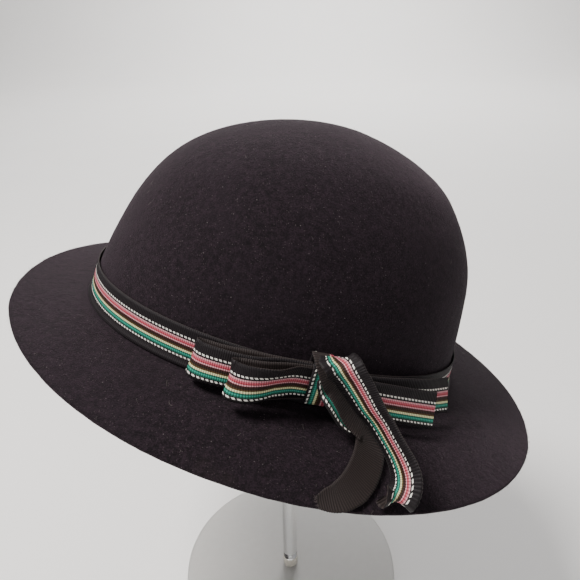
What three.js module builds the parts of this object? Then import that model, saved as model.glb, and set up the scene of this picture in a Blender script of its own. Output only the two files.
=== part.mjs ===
// Cloche hat of black wool felt with a striped ribbon band and a flat bow, on a clear display stand.
// Millimetres, +Z up. The origin is the centre of the stand's foot, on the surface that it stands on.
// The wearer's front is at +X and the bow is on the wearer's right, at -Y.

import * as THREE from 'three';

// Felt body
const CROWN_LENGTH = 200;
const CROWN_BREADTH = 168;
const CROWN_HEIGHT = 110.6;
const FELT = 2;
const ROOT_FILLET = 4;
const BRIM_FRONT = 49.9;
const BRIM_BACK = 36.8;
const BRIM_BOW_SIDE = 43.5;
const BRIM_FAR_SIDE = 46.9;
const DROP_FRONT = 7.6;
const DROP_BACK = 5.8;
const DROP_BOW_SIDE = 15.2;
const DROP_FAR_SIDE = 8.7;
const SADDLE = 2.4;

// Ribbon
const RIBBON_WIDTH = 18;
const RIBBON = 1;
const GAP = 0.3;
const KNOT_WIDTH = 8;

// Stand
const BASE_RADIUS = 76;
const BASE_HEIGHT = 5;
const BASE_BEVEL = 0.8;
const ROD_RADIUS = 5;
const SOCKET_RADIUS = 5.2;
const SOCKET_HEIGHT = 7;
const SEAT_HEIGHT = 323.8;
const CAP_RADIUS = 24;
const CAP_CURVE = 45;
const CAP_EDGE = 3;

// How the hat leans on the stand, in degrees
const LEAN_FRONT = 17.4;
const LEAN_FAR = 7.8;
const SWING = 2.5;

// Mesh fineness
const TURN_STEPS = 60;
const CROWN_STEPS = 13;
const FILLET_STEPS = 3;
const BRIM_STEPS = 5;
const BAND_STEPS = 6;
const SPLINE_STEPS = 3;
const ROUND_STEPS = 40;
const CAP_STEPS = 6;
const SEEK_STEPS = 60;
const SEEK_STAGE = 0.004;
const NORMAL_STEP = 1e-3;

// Crown sections from the root up. height is a share of the crown's height. fullness multiplies the
// width of a plain dome there. shift moves the section to the front, as a share of the crown's length.
const CROWN_SECTIONS = [
  { height: 0.00, fullness: 1.000, shift: 0.000 },
  { height: 0.15, fullness: 0.989, shift: -0.004 },
  { height: 0.35, fullness: 0.998, shift: 0.000 },
  { height: 0.55, fullness: 1.038, shift: 0.007 },
  { height: 0.75, fullness: 1.090, shift: 0.013 },
  { height: 0.90, fullness: 1.128, shift: 0.028 },
  { height: 1.00, fullness: 1.027, shift: 0.028 },
];

// Each row of a ribbon table is one place along the middle of the ribbon. turn is the angle round
// the crown in degrees, -90 at the bow side. layers is the distance out from the crown's root,
// counted in ribbon layers, and reach is a further distance as a share of the bow side's brim.
// rise is the height above the brim as a share of the ribbon's width. along, away and up give the
// way across the ribbon, from its lower edge to its upper one. spread is how much of its width the
// ribbon shows: the knot gathers it, and the loops and ends have their lower border tucked under.
const BACK_LOOP = [
  { turn: -86.3, layers: 2.9, reach: 0, rise: 0.88, along: 0, away: -0.05, up: 1, spread: 0.7 },
  { turn: -92, layers: 2.9, reach: 0, rise: 0.8, along: 0, away: -0.08, up: 1, spread: 0.76 },
  { turn: -100, layers: 2.9, reach: 0, rise: 0.72, along: 0, away: -0.1, up: 1, spread: 0.8 },
  { turn: -107, layers: 3.1, reach: 0, rise: 0.64, along: 0, away: -0.12, up: 1, spread: 0.82 },
  { turn: -111.6, layers: 3.7, reach: 0, rise: 0.64, along: 0, away: -0.16, up: 1, spread: 0.82 },
  { turn: -113.2, layers: 5.2, reach: 0, rise: 0.69, along: 0, away: -0.2, up: 1, spread: 0.82 },
  { turn: -111.8, layers: 6.7, reach: 0, rise: 0.71, along: 0, away: -0.22, up: 1, spread: 0.82 },
  { turn: -107, layers: 7.4, reach: 0, rise: 0.75, along: 0, away: -0.16, up: 1, spread: 0.82 },
  { turn: -100, layers: 6.6, reach: 0, rise: 0.78, along: 0, away: -0.1, up: 1, spread: 0.8 },
  { turn: -92.5, layers: 4.3, reach: 0, rise: 0.85, along: 0, away: -0.06, up: 1, spread: 0.76 },
  { turn: -86.3, layers: 3.9, reach: 0, rise: 0.88, along: 0, away: -0.05, up: 1, spread: 0.7 },
];

const FRONT_LOOP = [
  { turn: -86.3, layers: 5, reach: 0, rise: 0.9, along: 0, away: -0.05, up: 1, spread: 0.7 },
  { turn: -91.4, layers: 5.8, reach: 0, rise: 0.85, along: 0, away: -0.1, up: 1, spread: 0.76 },
  { turn: -97.2, layers: 7.9, reach: 0, rise: 0.8, along: 0, away: -0.16, up: 1, spread: 0.8 },
  { turn: -100.8, layers: 9, reach: 0, rise: 0.79, along: 0, away: -0.22, up: 0.98, spread: 0.82 },
  { turn: -102.6, layers: 9.9, reach: 0, rise: 0.8, along: 0, away: -0.25, up: 0.97, spread: 0.82 },
  { turn: -103.4, layers: 11.2, reach: 0, rise: 0.83, along: -0.03, away: -0.28, up: 0.96, spread: 0.82 },
  { turn: -102.6, layers: 12.5, reach: 0, rise: 0.86, along: -0.05, away: -0.26, up: 0.96, spread: 0.82 },
  { turn: -100.2, layers: 13.1, reach: 0, rise: 0.89, along: -0.06, away: -0.14, up: 0.98, spread: 0.82 },
  { turn: -96.8, layers: 12.7, reach: 0, rise: 0.96, along: -0.06, away: 0.08, up: 1, spread: 0.82 },
  { turn: -93.6, layers: 11, reach: 0, rise: 0.99, along: -0.1, away: 0.24, up: 0.97, spread: 0.8 },
  { turn: -90.1, layers: 7.5, reach: 0, rise: 0.93, along: -0.08, away: 0.1, up: 1, spread: 0.76 },
  { turn: -86.3, layers: 6, reach: 0, rise: 0.88, along: 0, away: -0.05, up: 1, spread: 0.7 },
];

const BACK_END = [
  { turn: -83.9, layers: 4.9, reach: 0, rise: 0.88, along: 0, away: -0.05, up: 1, spread: 0.7 },
  { turn: -78, layers: 4, reach: 0, rise: 0.8, along: 0, away: -0.08, up: 1, spread: 0.76 },
  { turn: -70, layers: 4, reach: 0, rise: 0.75, along: 0, away: -0.16, up: 0.99, spread: 0.82 },
  { turn: -60.5, layers: 5, reach: 0, rise: 0.8, along: 0, away: -0.26, up: 0.97, spread: 0.82 },
  { turn: -52, layers: 5.9, reach: 0, rise: 0.8, along: 0.03, away: -0.36, up: 0.93, spread: 0.82 },
  { turn: -44.7, layers: 6.8, reach: 0, rise: 0.82, along: 0.03, away: -0.45, up: 0.89, spread: 0.83 },
];

const FRONT_END = [
  { turn: -83.9, layers: 6.1, reach: 0, rise: 0.88, along: 0, away: -0.05, up: 1, spread: 0.7 },
  { turn: -78, layers: 6, reach: 0, rise: 0.79, along: 0, away: -0.12, up: 0.99, spread: 0.78 },
  { turn: -68.9, layers: 7.3, reach: 0, rise: 0.77, along: -0.05, away: -0.22, up: 0.97, spread: 0.82 },
  { turn: -61, layers: 8.8, reach: 0, rise: 0.75, along: 0.1, away: -0.32, up: 0.94, spread: 0.82 },
  { turn: -53.2, layers: 10.6, reach: 0, rise: 0.71, along: 0.18, away: -0.4, up: 0.9, spread: 0.83 },
];

const STRIPED_TAIL = [
  { turn: -83.7, layers: 6.3, reach: 0, rise: 1.64, along: 0.98, away: 0, up: 0.1, spread: 0.6 },
  { turn: -83.5, layers: 7.9, reach: 0, rise: 1.7, along: 0.97, away: 0, up: 0.15, spread: 0.74 },
  { turn: -83.3, layers: 9.5, reach: 0, rise: 1.74, along: 0.95, away: 0.04, up: 0.22, spread: 0.84 },
  { turn: -82.5, layers: 11.2, reach: 0, rise: 1.76, along: 0.91, away: 0.14, up: 0.34, spread: 0.82 },
  { turn: -81.8, layers: 12.5, reach: 0, rise: 1.73, along: 0.84, away: 0.3, up: 0.44, spread: 0.82 },
  { turn: -80.8, layers: 0, reach: 0.39, rise: 1.64, along: 0.76, away: 0.45, up: 0.48, spread: 0.84 },
  { turn: -79.7, layers: 0, reach: 0.4, rise: 1.54, along: 0.69, away: 0.54, up: 0.48, spread: 0.86 },
  { turn: -77.5, layers: 0, reach: 0.44, rise: 1.33, along: 0.55, away: 0.65, up: 0.52, spread: 0.86 },
  { turn: -75.2, layers: 0, reach: 0.5, rise: 1.11, along: 0.41, away: 0.72, up: 0.56, spread: 0.86 },
  { turn: -73, layers: 0, reach: 0.57, rise: 0.95, along: 0.25, away: 0.77, up: 0.59, spread: 0.86 },
  { turn: -71.2, layers: 0, reach: 0.69, rise: 0.81, along: 0.13, away: 0.78, up: 0.61, spread: 0.86 },
  { turn: -70, layers: 0, reach: 0.81, rise: 0.72, along: 0.12, away: 0.78, up: 0.61, spread: 0.85 },
  { turn: -69.6, layers: 0, reach: 0.91, rise: 0.67, along: 0.2, away: 0.76, up: 0.6, spread: 0.82 },
  { turn: -69.7, layers: 0, reach: 0.98, rise: 0.62, along: 0.36, away: 0.7, up: 0.58, spread: 0.78 },
  { turn: -70.1, layers: 0, reach: 1.03, rise: 0.54, along: 0.55, away: 0.58, up: 0.52, spread: 0.74 },
  { turn: -70.7, layers: 0, reach: 1.05, rise: 0.41, along: 0.72, away: 0.42, up: 0.42, spread: 0.7 },
  { turn: -71.2, layers: 0, reach: 1.02, rise: 0.27, along: 0.85, away: 0.28, up: 0.28, spread: 0.68 },
  { turn: -71.7, layers: 0, reach: 0.95, rise: 0.2, along: 0.92, away: 0.18, up: 0.16, spread: 0.66 },
];

const TURNED_TAIL = [
  { turn: -85.9, layers: 3.6, reach: 0, rise: 1.54, along: -0.98, away: 0.02, up: -0.02, spread: 0.4 },
  { turn: -85.8, layers: 5.8, reach: 0, rise: 1.56, along: -0.98, away: 0.02, up: -0.02, spread: 0.4 },
  { turn: -85.3, layers: 7.9, reach: 0, rise: 1.51, along: -0.97, away: 0.05, up: -0.06, spread: 0.38 },
  { turn: -84.3, layers: 9, reach: 0, rise: 1.38, along: -0.94, away: 0.1, up: -0.08, spread: 0.4 },
  { turn: -83, layers: 9.4, reach: 0, rise: 1.19, along: -0.93, away: 0.2, up: 0, spread: 0.42 },
  { turn: -81.3, layers: 9, reach: 0, rise: 1.01, along: -0.9, away: 0.34, up: 0.08, spread: 0.48 },
  { turn: -79.2, layers: 0, reach: 0.29, rise: 0.81, along: -0.9, away: 0.38, up: 0.16, spread: 0.6 },
  { turn: -76.9, layers: 0, reach: 0.34, rise: 0.59, along: -0.94, away: 0.25, up: 0.21, spread: 0.66 },
  { turn: -74.8, layers: 0, reach: 0.38, rise: 0.45, along: -0.95, away: 0.2, up: 0.23, spread: 0.71 },
  { turn: -73, layers: 0, reach: 0.43, rise: 0.35, along: -0.96, away: 0.15, up: 0.24, spread: 0.77 },
  { turn: -72.6, layers: 0, reach: 0.5, rise: 0.28, along: -0.97, away: 0.1, up: 0.21, spread: 0.8 },
  { turn: -73.3, layers: 0, reach: 0.61, rise: 0.24, along: -0.97, away: 0, up: 0.23, spread: 0.81 },
  { turn: -75, layers: 0, reach: 0.75, rise: 0.2, along: -0.94, away: -0.12, up: 0.3, spread: 0.81 },
  { turn: -77.3, layers: 0, reach: 0.88, rise: 0.17, along: -0.94, away: -0.18, up: 0.29, spread: 0.76 },
  { turn: -80.2, layers: 0, reach: 0.97, rise: 0.15, along: -0.84, away: -0.4, up: 0.38, spread: 0.61 },
  { turn: -82.3, layers: 0, reach: 1, rise: 0.14, along: -0.7, away: -0.5, up: 0.5, spread: 0.46 },
  { turn: -83.8, layers: 0, reach: 1.02, rise: 0.13, along: -0.5, away: -0.58, up: 0.64, spread: 0.26 },
];

// Corners of the knot's sleeve, seen from its end: the same columns, with the ribbon lying across.
const KNOT = [
  { turn: -84.3, layers: 2, reach: 0, rise: 0.4, along: 1, away: 0, up: 0 },
  { turn: -84.3, layers: 6.6, reach: 0, rise: 0.4, along: 1, away: 0, up: 0 },
  { turn: -84.4, layers: 7.3, reach: 0, rise: 0.46, along: 1, away: 0, up: 0 },
  { turn: -84.6, layers: 7.2, reach: 0, rise: 1.36, along: 1, away: 0, up: 0 },
  { turn: -84.6, layers: 6.5, reach: 0, rise: 1.42, along: 1, away: 0, up: 0 },
  { turn: -84.6, layers: 1.3, reach: 0, rise: 1.42, along: 1, away: 0, up: 0 },
];

// Colours and finishes
const FELT_BLACK = new THREE.MeshStandardMaterial({ color: 0x1b171a, roughness: 0.95, metalness: 0 });
const RIBBON_STRIPED = new THREE.MeshStandardMaterial({ color: 0x7a3a3f, roughness: 0.8, metalness: 0 });
const RIBBON_BLACK = new THREE.MeshStandardMaterial({ color: 0x241f1d, roughness: 0.8, metalness: 0 });
const ACRYLIC = new THREE.MeshStandardMaterial({ color: 0xe3e0dd, roughness: 0.2, metalness: 0 });

const UP = new THREE.Vector3(0, 0, 1);
const ROOT_X = CROWN_LENGTH / 2;
const ROOT_Y = CROWN_BREADTH / 2;
const LAYER = RIBBON + GAP;

// Smooth curve through one column of a table, read at any place along another column.
function smooth(rows, places, column, place) {
  let i = 0;
  while (i < rows.length - 2 && place > places[i + 1]) i += 1;
  const slope = (k) => {
    const before = Math.max(k - 1, 0);
    const after = Math.min(k + 1, rows.length - 1);
    return (rows[after][column] - rows[before][column]) / (places[after] - places[before]);
  };
  const span = places[i + 1] - places[i];
  const t = (place - places[i]) / span;
  const start = rows[i][column];
  const end = rows[i + 1][column];
  const rise = end - start;
  const a = slope(i) * span - rise;
  const b = -slope(i + 1) * span + rise;
  return start + t * rise + t * (1 - t) * (a * (1 - t) + b * t);
}

// Value round the hat that passes through four given ones: front, back, bow side and far side.
function around(turn, front, back, bowSide, farSide) {
  const mean = (front + back + bowSide + farSide) / 4;
  const length = (front - back) / 2;
  const breadth = (farSide - bowSide) / 2;
  const oval = (front + back - bowSide - farSide) / 4;
  return mean + length * Math.cos(turn) + breadth * Math.sin(turn) + oval * Math.cos(2 * turn);
}

// The root is the oval line where crown and brim would meet without the fillet.
function rootSaddle(turn) {
  return -SADDLE * Math.cos(2 * turn);
}

function rootNormal(turn) {
  return new THREE.Vector3(ROOT_Y * Math.cos(turn), ROOT_X * Math.sin(turn), 0).normalize();
}

const SECTION_RISES = CROWN_SECTIONS.map((row) => Math.asin(row.height));

// Point on the crown at an angle round it and a rise from 0 at the root to a right angle at the tip.
function crownPoint(turn, rise) {
  const fullness = smooth(CROWN_SECTIONS, SECTION_RISES, 'fullness', rise);
  const shift = smooth(CROWN_SECTIONS, SECTION_RISES, 'shift', rise) * CROWN_LENGTH;
  const size = Math.cos(rise) * fullness;
  return new THREE.Vector3(
    ROOT_X * size * Math.cos(turn) + shift,
    ROOT_Y * size * Math.sin(turn),
    CROWN_HEIGHT * Math.sin(rise) + Math.cos(rise) ** 2 * rootSaddle(turn),
  );
}

function brimWidth(turn) {
  return around(turn, BRIM_FRONT, BRIM_BACK, BRIM_BOW_SIDE, BRIM_FAR_SIDE);
}

// Point on the top of the brim at a distance out from the root. The brim starts half as steep as
// its mean slope and bends down towards the rim.
function brimPoint(turn, out) {
  const share = Math.max(out, 0) / brimWidth(turn);
  const drop = around(turn, DROP_FRONT, DROP_BACK, DROP_BOW_SIDE, DROP_FAR_SIDE);
  const normal = rootNormal(turn);
  return new THREE.Vector3(
    ROOT_X * Math.cos(turn) + normal.x * out,
    ROOT_Y * Math.sin(turn) + normal.y * out,
    rootSaddle(turn) - drop * (share + share * share) / 2,
  );
}

const FILLET_RISE = Math.asin(ROOT_FILLET / CROWN_HEIGHT);

// Top surface of the felt: stage 0 to 1 is the crown from its tip down, 1 to 2 the fillet at the
// root and 2 to 3 the brim out to the rim.
function feltTop(turn, stage) {
  if (stage <= 1) return crownPoint(turn, Math.PI / 2 + (FILLET_RISE - Math.PI / 2) * stage);
  if (stage >= 2) return brimPoint(turn, ROOT_FILLET + (brimWidth(turn) - ROOT_FILLET) * (stage - 2));
  const t = stage - 1;
  return crownPoint(turn, FILLET_RISE).multiplyScalar((1 - t) ** 2)
    .addScaledVector(crownPoint(turn, 0), 2 * t * (1 - t))
    .addScaledVector(brimPoint(turn, ROOT_FILLET), t * t);
}

function feltNormal(turn, stage) {
  if (stage < 1e-6) return UP.clone();
  const across = feltTop(turn + NORMAL_STEP, stage).sub(feltTop(turn - NORMAL_STEP, stage));
  const last = Math.min(stage + NORMAL_STEP, 3);
  const down = feltTop(turn, last).sub(feltTop(turn, Math.max(stage - NORMAL_STEP, 0)));
  return down.cross(across).normalize();
}

function feltAt(turn, stage, offset) {
  return feltTop(turn, stage).addScaledVector(feltNormal(turn, stage), offset);
}

function meshOf(name, points, triangles, material) {
  const geometry = new THREE.BufferGeometry();
  const positions = points.flatMap((point) => [point.x, point.y, point.z]);
  geometry.setAttribute('position', new THREE.Float32BufferAttribute(positions, 3));
  geometry.setIndex(triangles);
  geometry.computeVertexNormals();
  const mesh = new THREE.Mesh(geometry, material);
  mesh.name = name;
  return mesh;
}

// Joins rings of points side by side. wrap joins the last ring to the first one.
function joinRings(rings, wrap) {
  const count = rings[0].length;
  const triangles = [];
  const last = wrap ? rings.length : rings.length - 1;
  for (let i = 0; i < last; i += 1) {
    const here = i * count;
    const next = ((i + 1) % rings.length) * count;
    for (let j = 0; j < count; j += 1) {
      const k = (j + 1) % count;
      triangles.push(here + j, next + j, next + k, here + j, next + k, here + k);
    }
  }
  return triangles;
}

function turnsAround() {
  return Array.from({ length: TURN_STEPS }, (_, i) => (2 * Math.PI * i) / TURN_STEPS);
}

function steps(from, to, count) {
  return Array.from({ length: count }, (_, i) => from + ((to - from) * (i + 1)) / count);
}

// Crown and brim: one felt shell, open underneath, with a cut rim.
function feltBody() {
  const stages = [...steps(0, 1, CROWN_STEPS), ...steps(1, 2, FILLET_STEPS), ...steps(2, 3, BRIM_STEPS)];
  const rings = stages.map((stage) => turnsAround().map((turn) => feltAt(turn, stage, 0)));
  const under = stages.map((stage) => turnsAround().map((turn) => feltAt(turn, stage, -FELT)));
  rings.push(...under.reverse());
  const triangles = joinRings(rings, false);
  const points = [...rings.flat(), feltAt(0, 0, 0), feltAt(0, 0, -FELT)];
  const tip = points.length - 2;
  const innerTip = points.length - 1;
  const lastRing = (rings.length - 1) * TURN_STEPS;
  for (let j = 0; j < TURN_STEPS; j += 1) {
    const k = (j + 1) % TURN_STEPS;
    triangles.push(tip, j, k, innerTip, lastRing + k, lastRing + j);
  }
  return meshOf('felt_body', points, triangles, FELT_BLACK);
}

// The band's lower edge lies a little below the middle of the fillet.
const BAND_FOOT = 1.6;

// Stages at which the band's rows lie: they share out the ribbon's width, measured up the felt from
// the band's lower edge.
function bandStages(turn) {
  const wanted = steps(0, RIBBON_WIDTH, BAND_STEPS);
  const stages = [BAND_FOOT];
  let stage = BAND_FOOT;
  let length = 0;
  let last = feltTop(turn, stage);
  for (const goal of wanted) {
    while (length < goal) {
      stage -= SEEK_STAGE;
      const next = feltTop(turn, stage);
      length += next.distanceTo(last);
      last = next;
    }
    stages.push(stage);
  }
  return stages;
}

function ribbonBand() {
  const rings = turnsAround().map((turn) => {
    const stages = bandStages(turn);
    const outer = stages.map((stage) => feltAt(turn, stage, GAP + RIBBON));
    const inner = stages.map((stage) => feltAt(turn, stage, GAP)).reverse();
    return [...outer, ...inner];
  });
  return meshOf('ribbon_band', rings.flat(), joinRings(rings, true), RIBBON_STRIPED);
}

function ribbonPlace(row) {
  const turn = THREE.MathUtils.degToRad(row.turn);
  const out = row.layers * LAYER + row.reach * BRIM_BOW_SIDE;
  const away = rootNormal(turn);
  const along = UP.clone().cross(away);
  const middle = brimPoint(turn, out).addScaledVector(UP, row.rise * RIBBON_WIDTH);
  const across = along.multiplyScalar(row.along).addScaledVector(away, row.away);
  across.addScaledVector(UP, row.up).normalize();
  return { middle, across };
}

// Flat strip through a row of places, with a width and a thickness. closed joins its ends.
function ribbonStrip(name, places, widths, closed, material) {
  const path = new THREE.CatmullRomCurve3(places.map((place) => place.middle), closed, 'centripetal');
  const sides = new THREE.CatmullRomCurve3(places.map((place) => place.across), closed, 'centripetal');
  const spans = closed ? places.length : places.length - 1;
  const count = spans * SPLINE_STEPS + (closed ? 0 : 1);
  const rings = [];
  for (let i = 0; i < count; i += 1) {
    const t = i / (spans * SPLINE_STEPS);
    const tangent = path.getTangent(t);
    const across = sides.getPoint(t);
    across.addScaledVector(tangent, -across.dot(tangent)).normalize();
    const face = tangent.clone().cross(across).multiplyScalar(RIBBON / 2);
    const at = (i / SPLINE_STEPS) % places.length;
    const low = Math.floor(at);
    const high = Math.min(low + 1, widths.length - 1);
    const half = THREE.MathUtils.lerp(widths[low], widths[high], at - low) / 2;
    const middle = path.getPoint(t);
    const corner = (side, front) => middle.clone().addScaledVector(across, side * half).addScaledVector(face, front);
    rings.push([corner(1, 1), corner(1, -1), corner(-1, -1), corner(-1, 1)]);
  }
  const triangles = joinRings(rings, closed);
  if (!closed) {
    const last = (rings.length - 1) * 4;
    triangles.push(0, 1, 2, 0, 2, 3, last, last + 2, last + 1, last, last + 3, last + 2);
  }
  return meshOf(name, rings.flat(), triangles, material);
}

function looseRibbon(name, rows, material) {
  const widths = rows.map((row) => row.spread * RIBBON_WIDTH);
  return ribbonStrip(name, rows.map(ribbonPlace), widths, false, material);
}

function knot() {
  const widths = KNOT.map(() => KNOT_WIDTH);
  return ribbonStrip('bow_knot', KNOT.map(ribbonPlace), widths, true, RIBBON_STRIPED);
}

// Solid of revolution from a profile of radius and height pairs that starts and ends on the axis.
function turned(name, profile) {
  const points = profile.map(([radius, height]) => new THREE.Vector2(radius, height));
  const geometry = new THREE.LatheGeometry(points, ROUND_STEPS);
  geometry.rotateX(Math.PI / 2);
  const mesh = new THREE.Mesh(geometry, ACRYLIC);
  mesh.name = name;
  return mesh;
}

function standBase() {
  return turned('stand_base', [
    [0, 0],
    [BASE_RADIUS - BASE_BEVEL, 0],
    [BASE_RADIUS, BASE_BEVEL],
    [BASE_RADIUS, BASE_HEIGHT - BASE_BEVEL],
    [BASE_RADIUS - BASE_BEVEL, BASE_HEIGHT],
    [0, BASE_HEIGHT],
  ]);
}

const SOCKET_FOOT = BASE_HEIGHT + GAP;
const ROD_FOOT = SOCKET_FOOT + SOCKET_HEIGHT + GAP;
const CAP_RISE = CAP_CURVE - Math.sqrt(CAP_CURVE ** 2 - CAP_RADIUS ** 2);
const CAP_FOOT = SEAT_HEIGHT - CAP_RISE - CAP_EDGE;

function standSocket() {
  return turned('stand_socket', [
    [0, SOCKET_FOOT],
    [SOCKET_RADIUS, SOCKET_FOOT],
    [SOCKET_RADIUS, SOCKET_FOOT + SOCKET_HEIGHT],
    [0, SOCKET_FOOT + SOCKET_HEIGHT],
  ]);
}

function standRod() {
  return turned('stand_rod', [
    [0, ROD_FOOT],
    [ROD_RADIUS, ROD_FOOT],
    [ROD_RADIUS, CAP_FOOT - GAP],
    [0, CAP_FOOT - GAP],
  ]);
}

// Domed cap on the rod, which carries the inside of the crown.
function standCap() {
  const profile = [[0, CAP_FOOT], [CAP_RADIUS, CAP_FOOT]];
  for (let i = CAP_STEPS; i >= 0; i -= 1) {
    const radius = (CAP_RADIUS * i) / CAP_STEPS;
    profile.push([radius, SEAT_HEIGHT - CAP_CURVE + Math.sqrt(CAP_CURVE ** 2 - radius ** 2)]);
  }
  return turned('stand_cap', profile);
}

const hat = new THREE.Group();
hat.add(
  feltBody(),
  ribbonBand(),
  looseRibbon('bow_back_loop', BACK_LOOP, RIBBON_STRIPED),
  looseRibbon('bow_front_loop', FRONT_LOOP, RIBBON_STRIPED),
  looseRibbon('bow_back_end', BACK_END, RIBBON_STRIPED),
  looseRibbon('bow_front_end', FRONT_END, RIBBON_STRIPED),
  knot(),
  looseRibbon('striped_tail', STRIPED_TAIL, RIBBON_STRIPED),
  looseRibbon('turned_tail', TURNED_TAIL, RIBBON_BLACK),
);

// The hat leans towards its front and its far side, then hangs from the highest point inside the
// crown, which sits on the middle of the cap with a small gap.
const leanFar = new THREE.Matrix4().makeRotationX(-THREE.MathUtils.degToRad(LEAN_FAR));
const leanFront = new THREE.Matrix4().makeRotationY(THREE.MathUtils.degToRad(LEAN_FRONT));
const swing = new THREE.Matrix4().makeRotationZ(THREE.MathUtils.degToRad(SWING));
const lean = leanFar.multiply(leanFront).multiply(swing);
hat.setRotationFromMatrix(lean);

function highestInside() {
  let highest = new THREE.Vector3(0, 0, -Infinity);
  for (const turn of turnsAround()) {
    for (const stage of steps(0, 0.5, SEEK_STEPS)) {
      const point = feltAt(turn, stage, -FELT).applyMatrix4(lean);
      if (point.z > highest.z) highest = point;
    }
  }
  return highest;
}

const contact = highestInside();
hat.position.set(-contact.x, -contact.y, SEAT_HEIGHT + GAP - contact.z);

const cloche = new THREE.Group();
cloche.add(hat, standBase(), standSocket(), standRod(), standCap());

export default cloche;
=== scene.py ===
"""Black wool felt cloche with a striped grosgrain ribbon band, a flat bow with two long tails, and the
clear acrylic stand that holds it. Sizes are in millimetres and become metres when a mesh is made."""

import math

import bmesh
import bpy
import numpy as np
from mathutils import Matrix, Vector


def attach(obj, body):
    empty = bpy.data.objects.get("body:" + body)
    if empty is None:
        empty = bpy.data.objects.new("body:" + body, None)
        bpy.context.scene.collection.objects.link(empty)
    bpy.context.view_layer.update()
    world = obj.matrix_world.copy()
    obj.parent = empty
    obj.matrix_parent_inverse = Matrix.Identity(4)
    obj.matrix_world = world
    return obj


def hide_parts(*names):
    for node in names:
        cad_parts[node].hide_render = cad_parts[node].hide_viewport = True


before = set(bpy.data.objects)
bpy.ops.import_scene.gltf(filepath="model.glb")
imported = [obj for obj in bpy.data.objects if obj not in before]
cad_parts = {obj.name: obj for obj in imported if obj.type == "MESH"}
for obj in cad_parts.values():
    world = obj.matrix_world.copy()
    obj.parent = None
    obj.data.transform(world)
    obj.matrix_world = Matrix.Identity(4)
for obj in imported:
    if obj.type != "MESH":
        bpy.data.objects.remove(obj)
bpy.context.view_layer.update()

MM = 0.001
TAU = 2 * math.pi

# Felt body
CROWN_LENGTH, CROWN_BREADTH, CROWN_HEIGHT = 200.0, 168.0, 110.6
FELT, ROOT_FILLET = 2.0, 4.0
BRIM_FRONT, BRIM_BACK, BRIM_BOW_SIDE, BRIM_FAR_SIDE = 49.9, 36.8, 43.5, 46.9
DROP_FRONT, DROP_BACK, DROP_BOW_SIDE, DROP_FAR_SIDE = 7.6, 5.8, 15.2, 8.7
SADDLE = 2.4

# Ribbon
RIBBON_WIDTH, LAYER, GAP, KNOT_WIDTH = 18.0, 1.3, 0.3, 8.0
CLOTH = 0.46
RIB = 0.95
RIB_STEPS = 4
SHOWN = 0.815
TUCK = 1.25
DASH_ROWS = (0.261, 0.783)
DASH_MIDDLE = 0.5
BAND_FOOT = 1.6

# Stand
BASE_RADIUS, BASE_HEIGHT = 76.0, 5.0
ROD_RADIUS, SOCKET_RADIUS, SOCKET_HEIGHT = 5.0, 5.2, 7.0
SEAT_HEIGHT, CAP_RADIUS, CAP_CURVE, CAP_EDGE = 323.8, 24.0, 45.0, 3.0
LEAN_FRONT, LEAN_FAR, SWING = 17.4, 7.8, 2.5

# Crown sections from the root up: height, fullness, shift to the front.
SECTION_HEIGHT = np.array([0.0, 0.15, 0.35, 0.55, 0.75, 0.90, 1.0])
SECTION_FULLNESS = np.array([1.0, 0.989, 0.998, 1.038, 1.090, 1.128, 1.027])
SECTION_SHIFT = np.array([0.0, -0.004, 0.0, 0.007, 0.013, 0.028, 0.028])

# Rows of the loose ribbon: turn round the crown, layers out, reach over the brim, rise above it, the
# way across from the lower edge to the upper one (along, away, up), and the share of the width shown.
BACK_LOOP = [
    (-86.3, 2.9, 0, 0.88, 0, -0.05, 1, 0.70),
    (-92.0, 2.9, 0, 0.80, 0, -0.08, 1, 0.76),
    (-100.0, 2.9, 0, 0.72, 0, -0.1, 1, 0.80),
    (-107.0, 3.1, 0, 0.64, 0, -0.12, 1, 0.82),
    (-111.6, 3.7, 0, 0.64, 0, -0.16, 1, 0.82),
    (-113.2, 5.2, 0, 0.69, 0, -0.2, 1, 0.82),
    (-111.8, 6.7, 0, 0.71, 0, -0.22, 1, 0.82),
    (-107.0, 7.4, 0, 0.75, 0, -0.16, 1, 0.82),
    (-100.0, 6.6, 0, 0.78, 0, -0.1, 1, 0.80),
    (-92.5, 4.3, 0, 0.85, 0, -0.06, 1, 0.76),
    (-86.3, 3.9, 0, 0.88, 0, -0.05, 1, 0.70),
]
FRONT_LOOP = [
    (-86.3, 5, 0, 0.90, 0, -0.05, 1, 0.70),
    (-91.4, 5.8, 0, 0.85, 0, -0.1, 1, 0.76),
    (-97.2, 7.9, 0, 0.80, 0, -0.16, 1, 0.80),
    (-100.8, 9, 0, 0.79, 0, -0.22, 0.98, 0.82),
    (-102.6, 9.9, 0, 0.80, 0, -0.25, 0.97, 0.82),
    (-103.4, 11.2, 0, 0.83, -0.03, -0.28, 0.96, 0.82),
    (-102.6, 12.5, 0, 0.86, -0.05, -0.26, 0.96, 0.82),
    (-100.2, 13.1, 0, 0.89, -0.06, -0.14, 0.98, 0.82),
    (-96.8, 12.7, 0, 0.96, -0.06, 0.08, 1, 0.82),
    (-93.6, 11, 0, 0.99, -0.1, 0.24, 0.97, 0.80),
    (-90.1, 7.5, 0, 0.93, -0.08, 0.1, 1, 0.76),
    (-86.3, 6, 0, 0.88, 0, -0.05, 1, 0.70),
]
BACK_END = [
    (-83.9, 4.9, 0, 0.88, 0, -0.05, 1, 0.70),
    (-78.0, 4, 0, 0.80, 0, -0.08, 1, 0.76),
    (-70.0, 4, 0, 0.75, 0, -0.16, 0.99, 0.82),
    (-60.5, 5, 0, 0.80, 0, -0.26, 0.97, 0.82),
    (-52.0, 5.9, 0, 0.80, 0.03, -0.36, 0.93, 0.82),
    (-44.7, 6.8, 0, 0.82, 0.03, -0.45, 0.89, 0.83),
]
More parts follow.
